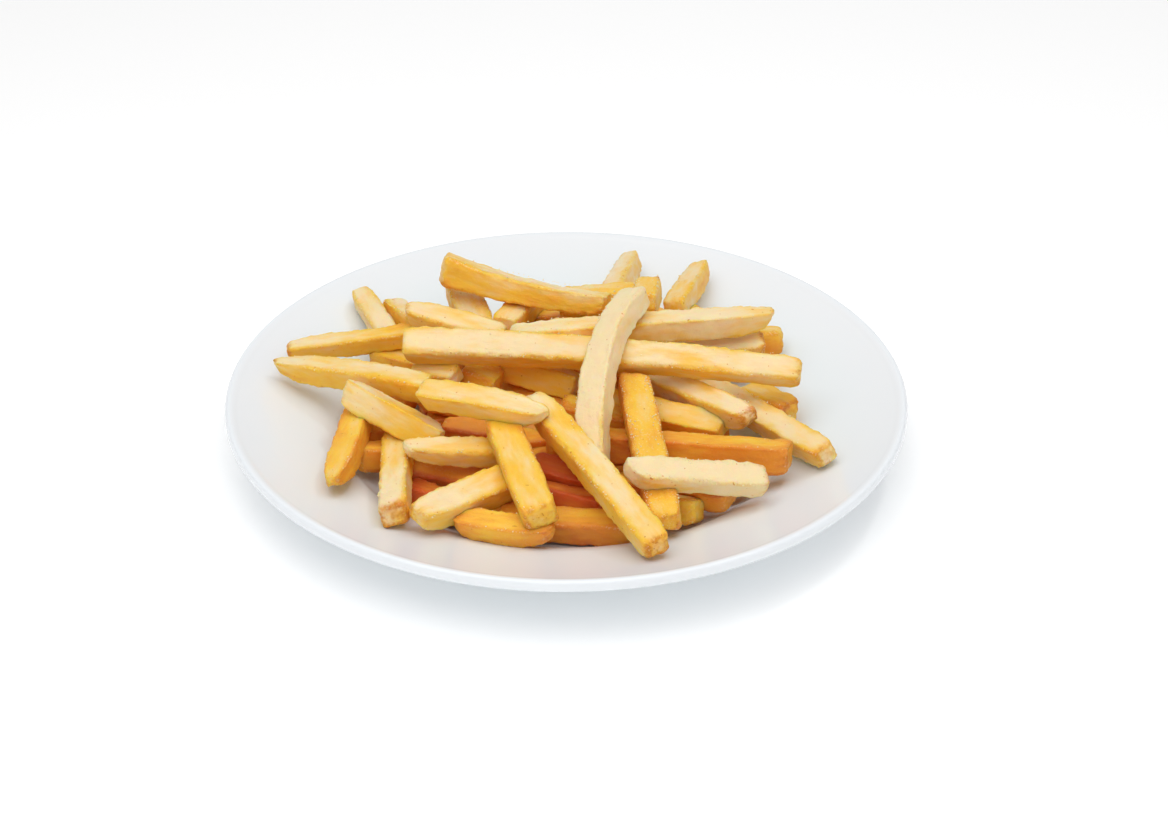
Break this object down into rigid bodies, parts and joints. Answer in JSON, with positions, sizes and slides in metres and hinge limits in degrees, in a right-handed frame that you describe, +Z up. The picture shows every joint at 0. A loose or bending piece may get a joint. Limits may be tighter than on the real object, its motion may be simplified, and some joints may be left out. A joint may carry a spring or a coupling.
{
  "type": "french fries portion",
  "caption": "Heap of straight-cut french fries served in the well of a round, wide-rimmed glossy white porcelain plate.",
  "frame": {"origin": "on the supporting surface, under the middle of the plate's foot", "axes": "+Z up; +X to the right of someone eating, +Y away from them; the longest bare stretch of rim is at -Y"},
  "size_m": [0.24, 0.24, 0.058],
  "materials": {
    "porcelain": "glossy glaze",
    "fried_potato": "fried potato crust, satin with a little oil"
  },
  "bodies": {
    "root": {"plate": "porcelain", "fries": "fried_potato"}
  },
  "joints": []
}
